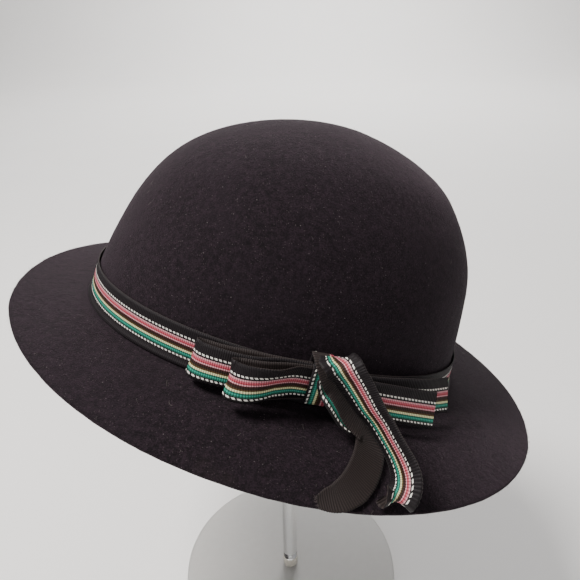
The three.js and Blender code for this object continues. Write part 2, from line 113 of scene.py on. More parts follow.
FRONT_END = [
    (-83.9, 6.1, 0, 0.88, 0, -0.05, 1, 0.70),
    (-78.0, 6, 0, 0.79, 0, -0.12, 0.99, 0.78),
    (-68.9, 7.3, 0, 0.77, -0.05, -0.22, 0.97, 0.82),
    (-61.0, 8.8, 0, 0.75, 0.1, -0.32, 0.94, 0.82),
    (-53.2, 10.6, 0, 0.71, 0.18, -0.4, 0.9, 0.83),
]
STRIPED_TAIL = [
    (-83.7, 6.3, 0, 1.64, 0.98, 0, 0.1, 0.60),
    (-83.5, 7.9, 0, 1.70, 0.97, 0, 0.15, 0.74),
    (-83.3, 9.5, 0, 1.74, 0.95, 0.04, 0.22, 0.84),
    (-82.5, 11.2, 0, 1.76, 0.91, 0.14, 0.34, 0.82),
    (-81.8, 12.5, 0, 1.73, 0.84, 0.3, 0.44, 0.82),
    (-80.8, 0, 0.39, 1.64, 0.76, 0.45, 0.48, 0.84),
    (-79.7, 0, 0.4, 1.54, 0.69, 0.54, 0.48, 0.86),
    (-77.5, 0, 0.44, 1.33, 0.55, 0.65, 0.52, 0.86),
    (-75.2, 0, 0.5, 1.11, 0.41, 0.72, 0.56, 0.86),
    (-73.0, 0, 0.57, 0.95, 0.25, 0.77, 0.59, 0.86),
    (-71.2, 0, 0.69, 0.81, 0.13, 0.78, 0.61, 0.86),
    (-70.0, 0, 0.81, 0.72, 0.12, 0.78, 0.61, 0.85),
    (-69.6, 0, 0.91, 0.67, 0.2, 0.76, 0.6, 0.82),
    (-69.7, 0, 0.98, 0.62, 0.36, 0.7, 0.58, 0.78),
    (-70.1, 0, 1.03, 0.54, 0.55, 0.58, 0.52, 0.74),
    (-70.7, 0, 1.05, 0.41, 0.72, 0.42, 0.42, 0.70),
    (-71.2, 0, 1.02, 0.27, 0.85, 0.28, 0.28, 0.68),
    (-71.7, 0, 0.95, 0.20, 0.92, 0.18, 0.16, 0.66),
]
TURNED_TAIL = [
    (-85.9, 3.6, 0, 1.54, -0.98, 0.02, -0.02, 0.40),
    (-85.8, 5.8, 0, 1.56, -0.98, 0.02, -0.02, 0.40),
    (-85.3, 7.9, 0, 1.51, -0.97, 0.05, -0.06, 0.38),
    (-84.3, 9, 0, 1.38, -0.94, 0.1, -0.08, 0.40),
    (-83.0, 9.4, 0, 1.19, -0.93, 0.2, 0, 0.42),
    (-81.3, 9, 0, 1.01, -0.9, 0.34, 0.08, 0.48),
    (-79.2, 0, 0.29, 0.81, -0.9, 0.38, 0.16, 0.60),
    (-76.9, 0, 0.34, 0.59, -0.94, 0.25, 0.21, 0.66),
    (-74.8, 0, 0.38, 0.45, -0.95, 0.2, 0.23, 0.71),
    (-73.0, 0, 0.43, 0.35, -0.96, 0.15, 0.24, 0.77),
    (-72.6, 0, 0.5, 0.28, -0.97, 0.1, 0.21, 0.80),
    (-73.3, 0, 0.61, 0.24, -0.97, 0, 0.23, 0.81),
    (-75.0, 0, 0.75, 0.20, -0.94, -0.12, 0.3, 0.81),
    (-77.3, 0, 0.88, 0.17, -0.94, -0.18, 0.29, 0.76),
    (-80.2, 0, 0.97, 0.15, -0.84, -0.4, 0.38, 0.61),
    (-82.3, 0, 1, 0.14, -0.7, -0.5, 0.5, 0.46),
    (-83.8, 0, 1.02, 0.13, -0.5, -0.58, 0.64, 0.26),
]
KNOT = [
    (-84.3, 2.0, 0, 0.40, 1, 0, 0, KNOT_WIDTH / RIBBON_WIDTH),
    (-84.3, 6.6, 0, 0.40, 1, 0, 0, KNOT_WIDTH / RIBBON_WIDTH),
    (-84.4, 7.3, 0, 0.46, 1, 0, 0, KNOT_WIDTH / RIBBON_WIDTH),
    (-84.6, 7.2, 0, 1.36, 1, 0, 0, KNOT_WIDTH / RIBBON_WIDTH),
    (-84.6, 6.5, 0, 1.42, 1, 0, 0, KNOT_WIDTH / RIBBON_WIDTH),
    (-84.6, 1.3, 0, 1.42, 1, 0, 0, KNOT_WIDTH / RIBBON_WIDTH),
]


# Shapes

def smooth_column(values, places, at):
    """Cubic through the values: each piece is the straight line between two values plus a bow that
    gives it the mean slope of its neighbours at both ends."""
    i = np.clip(np.searchsorted(places, at, side="left") - 1, 0, len(places) - 2)
    before = np.maximum(np.arange(len(places)) - 1, 0)
    after = np.minimum(np.arange(len(places)) + 1, len(places) - 1)
    slope = (values[after] - values[before]) / (places[after] - places[before])
    span = places[i + 1] - places[i]
    t = (at - places[i]) / span
    climb = values[i + 1] - values[i]
    a, b = slope[i] * span - climb, -slope[i + 1] * span + climb
    return values[i] + t * climb + t * (1 - t) * (a * (1 - t) + b * t)


def around(turn, front, back, bow_side, far_side):
    """Mean, plus a cosine and a sine of the turn, plus a cosine of twice the turn, through four values."""
    oval = (front + back - bow_side - far_side) / 4
    return ((front + back + bow_side + far_side) / 4 + (front - back) / 2 * np.cos(turn)
            + (far_side - bow_side) / 2 * np.sin(turn) + oval * np.cos(2 * turn))


ROOT_X, ROOT_Y = CROWN_LENGTH / 2, CROWN_BREADTH / 2
SECTION_RISE = np.arcsin(SECTION_HEIGHT)
FILLET_RISE = math.asin(ROOT_FILLET / CROWN_HEIGHT)


def root_normal(turn):
    """Outward normal of the oval root: (b cos t, a sin t), made one long."""
    x, y = ROOT_Y * np.cos(turn), ROOT_X * np.sin(turn)
    long = np.hypot(x, y)
    return x / long, y / long


def crown_point(turn, rise):
    """Dome: the oval's cosine and sine times cos(rise) times the section's fullness, shifted to the
    front, with the height as sin(rise) and the root's saddle fading out upwards."""
    size = np.cos(rise) * smooth_column(SECTION_FULLNESS, SECTION_RISE, rise)
    shift = smooth_column(SECTION_SHIFT, SECTION_RISE, rise) * CROWN_LENGTH
    return np.stack([ROOT_X * size * np.cos(turn) + shift, ROOT_Y * size * np.sin(turn),
                     CROWN_HEIGHT * np.sin(rise) - np.cos(rise) ** 2 * SADDLE * np.cos(2 * turn)], -1)


def brim_point(turn, out):
    """Root point moved out along the root's normal, lowered by the drop times the mean of the share
    of the brim's width and its square."""
    share = np.maximum(out, 0) / around(turn, BRIM_FRONT, BRIM_BACK, BRIM_BOW_SIDE, BRIM_FAR_SIDE)
    drop = around(turn, DROP_FRONT, DROP_BACK, DROP_BOW_SIDE, DROP_FAR_SIDE)
    nx, ny = root_normal(turn)
    return np.stack([ROOT_X * np.cos(turn) + nx * out, ROOT_Y * np.sin(turn) + ny * out,
                     -SADDLE * np.cos(2 * turn) - drop * (share + share ** 2) / 2], -1)


def felt_top(turn, stage):
    """Top of the felt: the dome from stage 0 to 1, a parabola through three points for the fillet from
    1 to 2, and the brim from 2 to 3."""
    turn, stage = np.broadcast_arrays(np.asarray(turn, float), np.asarray(stage, float))
    low = np.clip(stage, 0, 1)
    crown = crown_point(turn, math.pi / 2 + (FILLET_RISE - math.pi / 2) * low)
    wide = around(turn, BRIM_FRONT, BRIM_BACK, BRIM_BOW_SIDE, BRIM_FAR_SIDE)
    brim = brim_point(turn, ROOT_FILLET + (wide - ROOT_FILLET) * np.clip(stage - 2, 0, 1.2))
    t = np.clip(stage - 1, 0, 1)[..., None]
    fillet = (crown_point(turn, np.full_like(turn, FILLET_RISE)) * (1 - t) ** 2
              + crown_point(turn, np.zeros_like(turn)) * 2 * t * (1 - t)
              + brim_point(turn, np.full_like(turn, ROOT_FILLET)) * t ** 2)
    return np.where((stage <= 1)[..., None], crown, np.where((stage >= 2)[..., None], brim, fillet))


def unit(v):
    """Vectors made one long."""
    return v / np.maximum(np.linalg.norm(v, axis=-1, keepdims=True), 1e-12)


def felt_normal(turn, stage):
    """Cross product of the steps down and round the felt."""
    step = 1e-3
    turn, stage = np.broadcast_arrays(np.asarray(turn, float), np.asarray(stage, float))
    low, high = np.maximum(stage - step, 1e-4), np.minimum(np.maximum(stage, 1e-4) + step, 3)
    across = felt_top(turn + step, np.maximum(stage, 1e-3)) - felt_top(turn - step, np.maximum(stage, 1e-3))
    return unit(np.cross(felt_top(turn, high) - felt_top(turn, low), across))


def wander(points, size, seed):
    """Smooth value noise from -1 to 1: random numbers on a grid of cells of the given size, blended
    with 3t^2 - 2t^3 along each axis."""
    table = np.random.default_rng(seed).uniform(-1, 1, (32, 32, 32))
    q = np.asarray(points) / size
    i = np.floor(q).astype(int)
    t = q - i
    t = t * t * (3 - 2 * t)
    total = 0
    for dx in (0, 1):
        for dy in (0, 1):
            for dz in (0, 1):
                w = (np.where(dx, t[..., 0], 1 - t[..., 0]) * np.where(dy, t[..., 1], 1 - t[..., 1])
                     * np.where(dz, t[..., 2], 1 - t[..., 2]))
                x, y, z = ((i[..., axis] + step) % 32 for axis, step in enumerate((dx, dy, dz)))
                total = total + w * table[x, y, z]
    return total


def turned_about(axis, degrees):
    return np.array(Matrix.Rotation(math.radians(degrees), 3, axis))


HAT_LEAN = turned_about("X", -LEAN_FAR) @ turned_about("Y", LEAN_FRONT) @ turned_about("Z", SWING)


def hat_hang():
    """The hat's highest inner point comes to a small gap above the middle of the cap."""
    turn, stage = np.meshgrid(np.arange(60) * TAU / 60, np.arange(1, 61) / 120, indexing="ij")
    inside = (felt_top(turn, stage) - FELT * felt_normal(turn, stage)) @ HAT_LEAN.T
    top = inside.reshape(-1, 3)[inside[..., 2].argmax()]
    return np.array([0, 0, SEAT_HEIGHT + GAP]) - top


HAT_PLACE = hat_hang()


def on_stand(points):
    """Points of the hat's own frame, leant and hung on the stand."""
    return points @ HAT_LEAN.T + HAT_PLACE


def mesh_piece(name, points, faces, uv=None):
    """Mesh from an array of points in millimetres and an array of quads, with a corner map if given."""
    mesh = bpy.data.meshes.new(name)
    mesh.vertices.add(len(points))
    mesh.vertices.foreach_set("co", (np.asarray(points) * MM).astype(np.float32).ravel())
    faces = np.asarray(faces)
    mesh.loops.add(faces.size)
    mesh.loops.foreach_set("vertex_index", faces.astype(np.int32).ravel())
    mesh.polygons.add(len(faces))
    mesh.polygons.foreach_set("loop_start", np.arange(0, faces.size, faces.shape[1], dtype=np.int32))
    mesh.polygons.foreach_set("loop_total", np.full(len(faces), faces.shape[1], np.int32))
    mesh.update(calc_edges=True)
    if uv is not None:
        layer = mesh.uv_layers.new(name="weave")
        layer.data.foreach_set("uv", np.asarray(uv).astype(np.float32).ravel())
    mesh.polygons.foreach_set("use_smooth", np.full(len(faces), True))
    mesh.validate()
    piece = bpy.data.objects.new(name, mesh)
    bpy.context.scene.collection.objects.link(piece)
    return piece


def grid_faces(rows, columns, wrap_rows=False, wrap_columns=True):
    """Quads between neighbours of a grid numbered row by row."""
    i = np.arange(rows if wrap_rows else rows - 1)
    j = np.arange(columns if wrap_columns else columns - 1)
    i, j = np.meshgrid(i, j, indexing="ij")
    i2, j2 = (i + 1) % rows, (j + 1) % columns
    corners = [i * columns + j, i2 * columns + j, i2 * columns + j2, i * columns + j2]
    return np.stack(corners, -1).reshape(-1, 4)


def finished(piece, material, replaced):
    """The piece gets its material, rides on the one body and stands for its solids."""
    piece.data.materials.append(material)
    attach(piece, "root")
    if replaced:
        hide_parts(*replaced)
    return piece


# Materials

class Nodes:
    """Short way to place and join shader nodes."""

    def __init__(self, tree):
        self.tree = tree

    def add(self, kind, settings=None, **inputs):
        node = self.tree.nodes.new(kind)
        for key, value in (settings or {}).items():
            setattr(node, key, value)
        for key, value in inputs.items():
            self.set(node, key.replace("_", " "), value)
        return node

    def set(self, node, key, value):
        socket = node.inputs[int(key)] if key.strip().isdigit() else node.inputs[key]
        if isinstance(value, bpy.types.NodeSocket):
            self.tree.links.new(value, socket)
        else:
            socket.default_value = value

    def math(self, operation, *values, clamp=False):
        node = self.tree.nodes.new("ShaderNodeMath")
        node.operation, node.use_clamp = operation, clamp
        for i, value in enumerate(values):
            self.set(node, str(i), value)
        return node.outputs[0]

    def mix(self, factor, a, b, blend="MIX"):
        node = self.tree.nodes.new("ShaderNodeMix")
        node.data_type, node.blend_type = "RGBA", blend
        self.set(node, "0", factor)
        self.set(node, "6", a)
        self.set(node, "7", b)
        return node.outputs[2]

    def noise(self, vector, scale, detail=3.0, rough=0.55):
        node = self.add("ShaderNodeTexNoise", Vector=vector, Scale=scale, Detail=detail, Roughness=rough)
        return node.outputs[0]

    def above(self, value, low, gain):
        """How far the value is above a low one, times the gain, kept between 0 and 1."""
        return self.math("MULTIPLY", self.math("SUBTRACT", value, low), gain, clamp=True)

    def bumped(self, surface, strength, distance, height, under=None):
        """Bump by a height on a surface, over another normal if one is given."""
        node = self.add("ShaderNodeBump", Strength=strength, Distance=distance, Height=height)
        if under is not None:
            self.set(node, "Normal", under)
        self.set(surface, "Normal", node.outputs[0])

    def line(self, start, value, gain):
        """Start plus gain times the value."""
        return self.math("ADD", start, self.math("MULTIPLY", value, gain))

    def stretched(self, vector, scale, turn=0.0):
        """Vector scaled along its axes and turned about the third."""
        node = self.add("ShaderNodeMapping", Vector=vector)
        node.inputs["Scale"].default_value = scale
        node.inputs["Rotation"].default_value = (0.0, 0.0, turn)
        return node.outputs[0]

    def over(self, factor, base, colour):
        """Screen colour laid over a base."""
        return self.mix(factor, base, (*srgb(*colour), 1))

    def blend(self, factor, a, b):
        """Mix of two screen colours."""
        return self.over(factor, (*srgb(*a), 1), b)

    def ramp(self, value, stops, constant=False):
        node = self.add("ShaderNodeValToRGB", Fac=value)
        node.color_ramp.interpolation = "CONSTANT" if constant else "LINEAR"
        elements = node.color_ramp.elements
        while len(elements) < len(stops):
            elements.new(0.5)
        for element, (place, colour) in zip(elements, stops):
            element.position = place
            element.color = colour if len(colour) == 4 else (*colour, 1)
        return node.outputs[0]


def srgb(red, green, blue):
    """Screen colour from 0 to 255 as linear light."""
    c = np.array([red, green, blue]) / 255
    return tuple(float(x) for x in np.where(c <= 0.04045, c / 12.92, ((c + 0.055) / 1.055) ** 2.4))


def grey(value):
    return (value, value, value, 1)


def new_material(name):
    material = bpy.data.materials.new(name)
    material.use_nodes = True
    nodes = Nodes(material.node_tree)
    surface = material.node_tree.nodes["Principled BSDF"]
    return material, nodes, surface


def constants(node, **values):
    """Constant inputs of a node; an underscore in a name stands for a space."""
    for key, value in values.items():
        node.inputs[key.replace("_", " ")].default_value = value


def grain_group():
    """Grain: two sizes of noise on a vector, joined to one value round 0.5."""
    group = bpy.data.node_groups.new("grain", "ShaderNodeTree")
    group.interface.new_socket("Vector", in_out="INPUT", socket_type="NodeSocketVector")
    for name, way in (("Fine", "INPUT"), ("Coarse", "INPUT"), ("Value", "OUTPUT")):
        group.interface.new_socket(name, in_out=way, socket_type="NodeSocketFloat")
    n = Nodes(group)
    start, end = n.add("NodeGroupInput"), n.add("NodeGroupOutput")
    fine = n.noise(start.outputs["Vector"], start.outputs["Fine"], 2.0, 0.6)
    coarse = n.noise(start.outputs["Vector"], start.outputs["Coarse"], 3.0, 0.55)
    n.set(end, "Value", n.line(n.math("MULTIPLY", fine, 0.6), coarse, 0.4))
    return group


GRAIN = grain_group()


def grain(nodes, vector, fine, coarse):
    node = nodes.add("ShaderNodeGroup", {"node_tree": GRAIN})
    nodes.set(node, "Vector", vector)
    nodes.set(node, "Fine", fine)
    nodes.set(node, "Coarse", coarse)
    return node.outputs["Value"]


FELT_DARK, FELT_LIGHT, FELT_CLOUD, FELT_DUST = (9, 5, 8), (36, 26, 33), (32, 24, 30), (62, 55, 45)

# Pale specks in the felt: cells in a metre, size in the cell, share of cells left bare, colour.
SPECKS = [(620.0, 0.13, 0.94, (92, 84, 86)), (1150.0, 0.22, 0.82, (62, 54, 56))]


def felt_material():
    """Matted black wool: violet black, mottled, with pressed fibres, pale lint and dusty rubbed places."""
    material, n, surface = new_material("black_wool_felt")
    place = n.add("ShaderNodeTexCoord").outputs["Object"]
    speckle = grain(n, place, 1500.0, 420.0)
    cloud = n.noise(place, 22.0, 4.0, 0.6)
    base = n.blend(n.above(speckle, 0.42, 5.0), FELT_DARK, FELT_LIGHT)
    base = n.over(n.above(cloud, 0.48, 1.8), base, FELT_CLOUD)
    dusty = n.above(n.noise(place, 9.0, 5.0, 0.7), 0.62, 2.2)
    base = n.over(n.math("MULTIPLY", dusty, 0.42), base, FELT_DUST)
    for scale, reach, chance, tone in SPECKS:
        speck = n.add("ShaderNodeTexVoronoi", Vector=place, Scale=scale)
        dot = n.math("LESS_THAN", speck.outputs["Distance"], reach)
        lot = n.add("ShaderNodeSeparateColor", Color=speck.outputs["Color"]).outputs[0]
        rare = n.math("GREATER_THAN", lot, chance)
        base = n.over(n.math("MULTIPLY", dot, rare), base, tone)
    n.set(surface, "Base Color", base)
    n.set(surface, "Roughness", n.line(0.86, speckle, 0.14))
    constants(surface, Specular_IOR_Level=0.18, Sheen_Weight=0.10, Sheen_Roughness=0.5,
              Sheen_Tint=(*srgb(200, 172, 190), 1))
    matted = n.add("ShaderNodeTexNoise", Vector=place, Scale=900.0, Detail=4.0, Roughness=0.7)
    matted.inputs["Distortion"].default_value = 1.4
    height = n.math("ADD", matted.outputs[0], speckle)
    pressed = n.add("ShaderNodeBump", Strength=0.4, Distance=0.0007, Height=n.noise(place, 160.0, 3.0, 0.6))
    n.bumped(surface, 0.9, 0.0004, height, pressed.outputs[0])
    return material


BORDER = srgb(21, 14, 18)

# Warp stripes from the upper edge down: the share of the width where each begins, and its colour.
STRIPES = [
    (0.000, BORDER), (0.322, srgb(226, 166, 172)), (0.358, srgb(204, 98, 112)),
    (0.400, srgb(178, 56, 72)), (0.430, srgb(226, 162, 170)), (0.461, srgb(62, 28, 22)),
    (0.500, srgb(44, 26, 16)), (0.545, srgb(84, 60, 30)), (0.583, srgb(236, 230, 178)),
    (0.635, srgb(18, 104, 86)), (0.670, srgb(54, 160, 138)), (0.705, srgb(18, 100, 82)),
    (0.740, srgb(16, 13, 13)), (0.757, BORDER),
]

# Where the two rows of white floats begin and end. Twice the share plus the shift has a fraction near
# the middle value in both rows, and the floats slant by its distance from there.
DASHED = [(0.0, grey(0)), (0.240, grey(1)), (0.282, grey(0)), (0.762, grey(1)), (0.804, grey(0))]
DASH_SLANT, SLANT_SHIFT, SLANT_MIDDLE, DASH_HALF_RUN = 2.5, 0.22, 0.76, 0.31


def ribbon_material():
    """Grosgrain: round ribs across, coloured warp stripes on the face, two rows of solid white floats,
    one for every two ribs, and a plain brown-black back, both with painted shade in the grooves between
    the ribs. The map counts ribs along and the width across, with the back from 2 to 3."""
    material, n, surface = new_material("striped_grosgrain")
    weave = n.add("ShaderNodeUVMap", {"uv_map": "weave"}).outputs[0]
    parts = n.add("ShaderNodeSeparateXYZ", Vector=weave)
    rib, across = parts.outputs[0], parts.outputs[1]
    back = n.math("GREATER_THAN", across, 1.5)
    share = n.math("SUBTRACT", across, n.math("MULTIPLY", back, 2.0))
    streak = n.noise(n.stretched(weave, (2.2, 60.0, 1.0)), 1.0, 3.0, 0.6)
    frayed_share = n.math("ADD", share, n.math("MULTIPLY", n.math("SUBTRACT", streak, 0.5), 0.012))
    stripes = n.ramp(frayed_share, STRIPES, constant=True)
    wave = n.math("COSINE", n.math("MULTIPLY", rib, TAU))
    # Painted shade: the face's colour darkens towards near black in the grooves between the ribs.
    painted_groove_shade = n.math("MULTIPLY", n.math("SUBTRACT", 0.25, wave), 0.8, clamp=True)
    stripes = n.over(n.math("MULTIPLY", painted_groove_shade, 0.60), stripes, (12, 8, 9))
    from_row = n.math("FRACT", n.math("ADD", n.math("MULTIPLY", share, 2), SLANT_SHIFT))
    slant = n.math("MULTIPLY", n.math("SUBTRACT", from_row, SLANT_MIDDLE), DASH_SLANT)
    float_run = n.math("FRACT", n.math("SUBTRACT", n.math("MULTIPLY", rib, 0.5), slant))
    float_run = n.math("ABSOLUTE", n.math("SUBTRACT", float_run, DASH_MIDDLE / 2))
    float_run = n.math("MINIMUM", float_run, n.math("SUBTRACT", 1.0, float_run))
    on_float = n.math("LESS_THAN", float_run, DASH_HALF_RUN)
    on = n.math("MULTIPLY", n.ramp(share, DASHED, constant=True), on_float)
    face = n.over(on, stripes, (240, 237, 228))
    plain = n.blend(streak, (27, 20, 20), (60, 49, 47))
    # Painted shade: the plain back's colour also darkens in the grooves between the ribs.
    plain = n.over(n.math("MULTIPLY", painted_groove_shade, 0.75), plain, (12, 9, 9))
    colour = n.mix(back, face, plain)
    tone = n.ramp(streak, [(0.25, grey(0.84)), (0.75, grey(1.0))])
    n.set(surface, "Base Color", n.mix(1.0, colour, tone, "MULTIPLY"))
    n.set(surface, "Roughness", n.line(0.50, streak, 0.25))
    constants(surface, Specular_IOR_Level=0.26, Sheen_Weight=0.03, Sheen_Roughness=0.4)
    yarn = n.math("COSINE", n.math("MULTIPLY", share, TAU * 62))
    height = n.math("ADD", n.math("MULTIPLY", wave, 0.5), n.math("MULTIPLY", yarn, 0.10))
    height = n.math("ADD", height, n.math("MULTIPLY", streak, 0.25))
    n.bumped(surface, 0.7, 0.00014, height)
    return material


def thread_material():
    """Loose black-brown yarn at the cut ends."""
    material, n, surface = new_material("loose_yarn")
    place = n.add("ShaderNodeTexCoord").outputs["Object"]
    shade = grain(n, place, 2600.0, 500.0)
    n.set(surface, "Base Color", n.blend(shade, (38, 30, 31), (104, 92, 90)))
    constants(surface, Roughness=0.7)
    return material


def lint_material():
    """Pale lint and hairs caught on the felt."""
    material, n, surface = new_material("pale_lint")
    place = n.add("ShaderNodeTexCoord").outputs["Object"]
    shade = n.noise(place, 800.0, 2.0, 0.5)
    n.set(surface, "Base Color", n.blend(shade, (78, 72, 70), (142, 134, 128)))
    constants(surface, Roughness=0.8)
    return material


def frosted_material():
    """Frosted acrylic: pale, translucent, faintly clouded, with fine scratches."""
    material, n, surface = new_material("frosted_acrylic")
    place = n.add("ShaderNodeTexCoord").outputs["Object"]
    cloud = grain(n, place, 180.0, 30.0)
    n.set(surface, "Base Color", n.blend(cloud, (226, 224, 221), (244, 243, 241)))
    n.set(surface, "Roughness", n.line(0.30, cloud, 0.16))
    constants(surface, IOR=1.49, Transmission_Weight=0.72)
    scratch = n.noise(n.stretched(place, (14.0, 900.0, 40.0), 0.6), 1.0, 2.0, 0.5)
    n.bumped(surface, 0.08, 0.0003, n.math("ADD", scratch, cloud))
    return material


def clear_material():
    """Clear acrylic with faint drawn lines along the rod."""
    material, n, surface = new_material("clear_acrylic")
    place = n.add("ShaderNodeTexCoord").outputs["Object"]
    drawn = n.noise(n.stretched(place, (700.0, 700.0, 6.0)), 1.0, 2.0, 0.5)
    n.set(surface, "Base Color", n.blend(drawn, (240, 242, 242), (252, 252, 252)))
    n.set(surface, "Roughness", n.line(0.02, drawn, 0.05))
    constants(surface, IOR=1.49, Transmission_Weight=1.0)
    n.bumped(surface, 0.05, 0.0002, drawn)
    return material


def socket_material():
    """Cream-white socket of the rod, faintly clouded under a thin gloss."""
    material, n, surface = new_material("cream_socket")
    place = n.add("ShaderNodeTexCoord").outputs["Object"]
    cloud = grain(n, place, 900.0, 160.0)
    n.set(surface, "Base Color", n.blend(cloud, (226, 216, 196), (252, 247, 236)))
    n.set(surface, "Roughness", n.line(0.18, cloud, 0.2))
    constants(surface, Coat_Weight=0.4)
    n.bumped(surface, 0.15, 0.0003, cloud)
    return material


FELT_LOOK, RIBBON_LOOK, THREAD_LOOK = felt_material(), ribbon_material(), thread_material()
LINT_LOOK, FROSTED_LOOK = lint_material(), frosted_material()
CLEAR_LOOK, SOCKET_LOOK = clear_material(), socket_material()


# Felt

# Unevenness of the felt and of its cut rim: depth, size of the waves, seed.
FELT_WAVES = [(0.30, 46.0, 5), (0.10, 12.0, 6), (0.045, 2.6, 7)]
RIM_WAVES = [(0.22, 17.0, 3), (0.14, 4.0, 4)]


def felt_hat():
    """Shell between the felt's top and the same surface moved in by its thickness, joined round the rim
    by a half round edge. Slow noise moves it a few tenths of a millimetre, and the cut rim wavers."""
    turns = np.arange(288) * TAU / 288
    top = np.concatenate([np.linspace(0.004, 1, 110), 1 + np.arange(1, 8) / 7, 2 + np.arange(1, 49) / 48])
    low = np.concatenate([np.linspace(0.004, 1, 64), 1 + np.arange(1, 6) / 5, 2 + np.arange(1, 31) / 30])
    low = low[::-1]
    edge = np.array([0.18, 0.5, 0.82])
    stage = np.concatenate([top, np.full(3, 3.0), low])[:, None]
    depth = np.concatenate([np.zeros(len(top)), edge * FELT, np.full(len(low), FELT)])[:, None]
    bulge = np.concatenate([np.zeros(len(top)), np.sin(edge * math.pi) * 0.45, np.zeros(len(low))])[:, None]
    turn = np.broadcast_to(turns, (len(stage), len(turns)))
    surface, normal = felt_top(turn, stage), felt_normal(turn, stage)
    nx, ny = root_normal(turn)
    out = np.stack([nx, ny, np.zeros_like(nx)], -1)
    rim = np.clip(stage - 2, 0, 1) ** 6
    waver = sum(deep * wander(surface, size, seed) for deep, size, seed in RIM_WAVES)
    points = surface - normal * depth[..., None] + out * (bulge + rim * waver)[..., None]
    uneven = sum(deep * wander(surface, size, seed) for deep, size, seed in FELT_WAVES)
    points += normal * uneven[..., None]
    rows, columns = turn.shape
    faces = grid_faces(rows, columns)
    points = points.reshape(-1, 3)
    points = np.concatenate([points, [points[:columns].mean(0), points[-columns:].mean(0)]])
    piece = mesh_piece("felt_hat", on_stand(points), faces)
    close_rings(piece, rows, columns, False)
    return finished(piece, FELT_LOOK, ["felt_body"])


def close_rings(piece, rows, columns, flip):
    """Fans of triangles from the last two points to the first and last rings."""
    count = rows * columns
    last = count - columns
    b = bmesh.new()
    b.from_mesh(piece.data)
    b.verts.ensure_lookup_table()
    for j in range(columns):
        k = (j + 1) % columns
        for corners in ((count, j, k), (count + 1, last + k, last + j)):
            ordered = corners[::-1] if flip else corners
            b.faces.new([b.verts[i] for i in ordered]).smooth = True
    b.to_mesh(piece.data)
    b.free()


def fibres(name, roots, ways, bends, lengths, radius, material):
    """Bent hairs: each one is the root plus its length times t along the way plus t squared along the
    bend, as a three-sided tube that thins towards its tip."""
    rows = 5
    t = np.linspace(0, 1, rows)[None, :, None]
    line = roots[:, None] + lengths[:, None, None] * (ways[:, None] * t + bends[:, None] * t ** 2)
    tangent = unit(np.gradient(line, axis=1))
    side = unit(np.cross(tangent, np.array([0.31, 0.52, 0.80])))
    other = np.cross(tangent, side)
    thin = radius[:, None, None] * (1.0 - 0.6 * t)
    ring = [line + thin * (side * math.cos(a) + other * math.sin(a)) for a in (0, TAU / 3, 2 * TAU / 3)]
    points = np.stack(ring, 2).reshape(-1, 3)
    one = grid_faces(rows, 3)
    faces = np.concatenate([one + k * rows * 3 for k in range(len(roots))])
    piece = mesh_piece(name, on_stand(points), faces[:, ::-1])
    return finished(piece, material, None)


# Hairs on the felt: name, count, shortest, longest, how steeply they stand, thickness, height of the
# root, how many stand along the rim, and the look.
STANDING, LYING = 0.75, 0.04
HAIRS = [
    ("felt_nap", 7000, 0.5, 1.3, STANDING, 0.030, -0.05, 1800, FELT_LOOK),
    ("felt_lint", 150, 0.5, 2.6, LYING, 0.050, 0.18, 0, LINT_LOOK),
]


def felt_fibres():
    """Short nap all over the felt and along its rim, and some pale hairs that lie on the crown and the
    brim and bend only along the surface."""
    random = np.random.default_rng(21)
    for name, count, low, high, lift, thick, lift_off, along_rim, look in HAIRS:
        turn = random.uniform(0, TAU, count)
        on_crown = random.random(count) < 0.5
        crown_stage = np.sqrt(random.uniform(0.0, 0.5, count))
        stage = np.where(on_crown, crown_stage, random.uniform(2.05, 3, count))
        stage[:along_rim] = 3.0
        normal = felt_normal(turn, stage)
        loose = random.normal(size=(count, 3))
        flat = unit(loose - normal * (loose * normal).sum(1, keepdims=True))
        ways = unit(flat + normal * lift * random.random((count, 1)))
        bends = 0.45 * random.normal(size=(count, 3))
        if lift == LYING:
            bends -= normal * ((bends + ways * 0.5) * normal).sum(1, keepdims=True)
        roots = felt_top(turn, stage) + normal * lift_off
        lengths = random.uniform(low, high, count)
        radius = thick * random.uniform(0.7, 1.2, count)
        fibres(name, roots, ways, bends, lengths, radius, look)


THREADS = 34


def frayed(name, rows):
    """Loose warp threads along the cut end of a strip: they point out along the path and curl a little."""
    random = np.random.default_rng(len(name) * 7)
    centre, way, _, half = ribbon_path(rows)[:4]
    out = unit(centre[-1] - centre[-2])
    side = random.uniform(-1, 1, THREADS)[:, None]
    roots = centre[-1] + way[-1] * half[-1] * side - out * 0.1
    ways = unit(out + 0.35 * random.normal(size=(THREADS, 3)))
    bends = 0.35 * random.normal(size=(THREADS, 3))
    lengths = random.uniform(0.4, 1.5, THREADS)
    radius = random.uniform(0.05, 0.085, THREADS)
    fibres(name, roots, ways, bends, lengths, radius, THREAD_LOOK)


# Ribbon

# Places across the ribbon, from the upper edge (0) to the lower one (1): close together at the dashes.
PLACES = np.array([0, 0.08, 0.16, 0.225, 0.24, 0.261, 0.282, 0.297, 0.36, 0.43, 0.50, 0.57, 0.64, 0.70,
                   0.742, 0.762, 0.783, 0.804, 0.82, 0.88, 0.94, 1.0])


def rib_wave(ribs):
    """Round rib: the size of the cosine of half a turn for each rib, a little flattened."""
    return np.abs(np.cos(math.pi * ribs)) ** 0.8


def dash_wave(ribs, share):
    """Raised white floats: a round bump over each dash, one for every two ribs in both dash rows."""
    along = np.maximum(np.cos(math.pi * (ribs[:, None] - DASH_MIDDLE)), 0) ** 0.7
    across = sum(np.maximum(1 - ((share[None] - row) / 0.024) ** 2, 0) for row in DASH_ROWS)
    return along * across


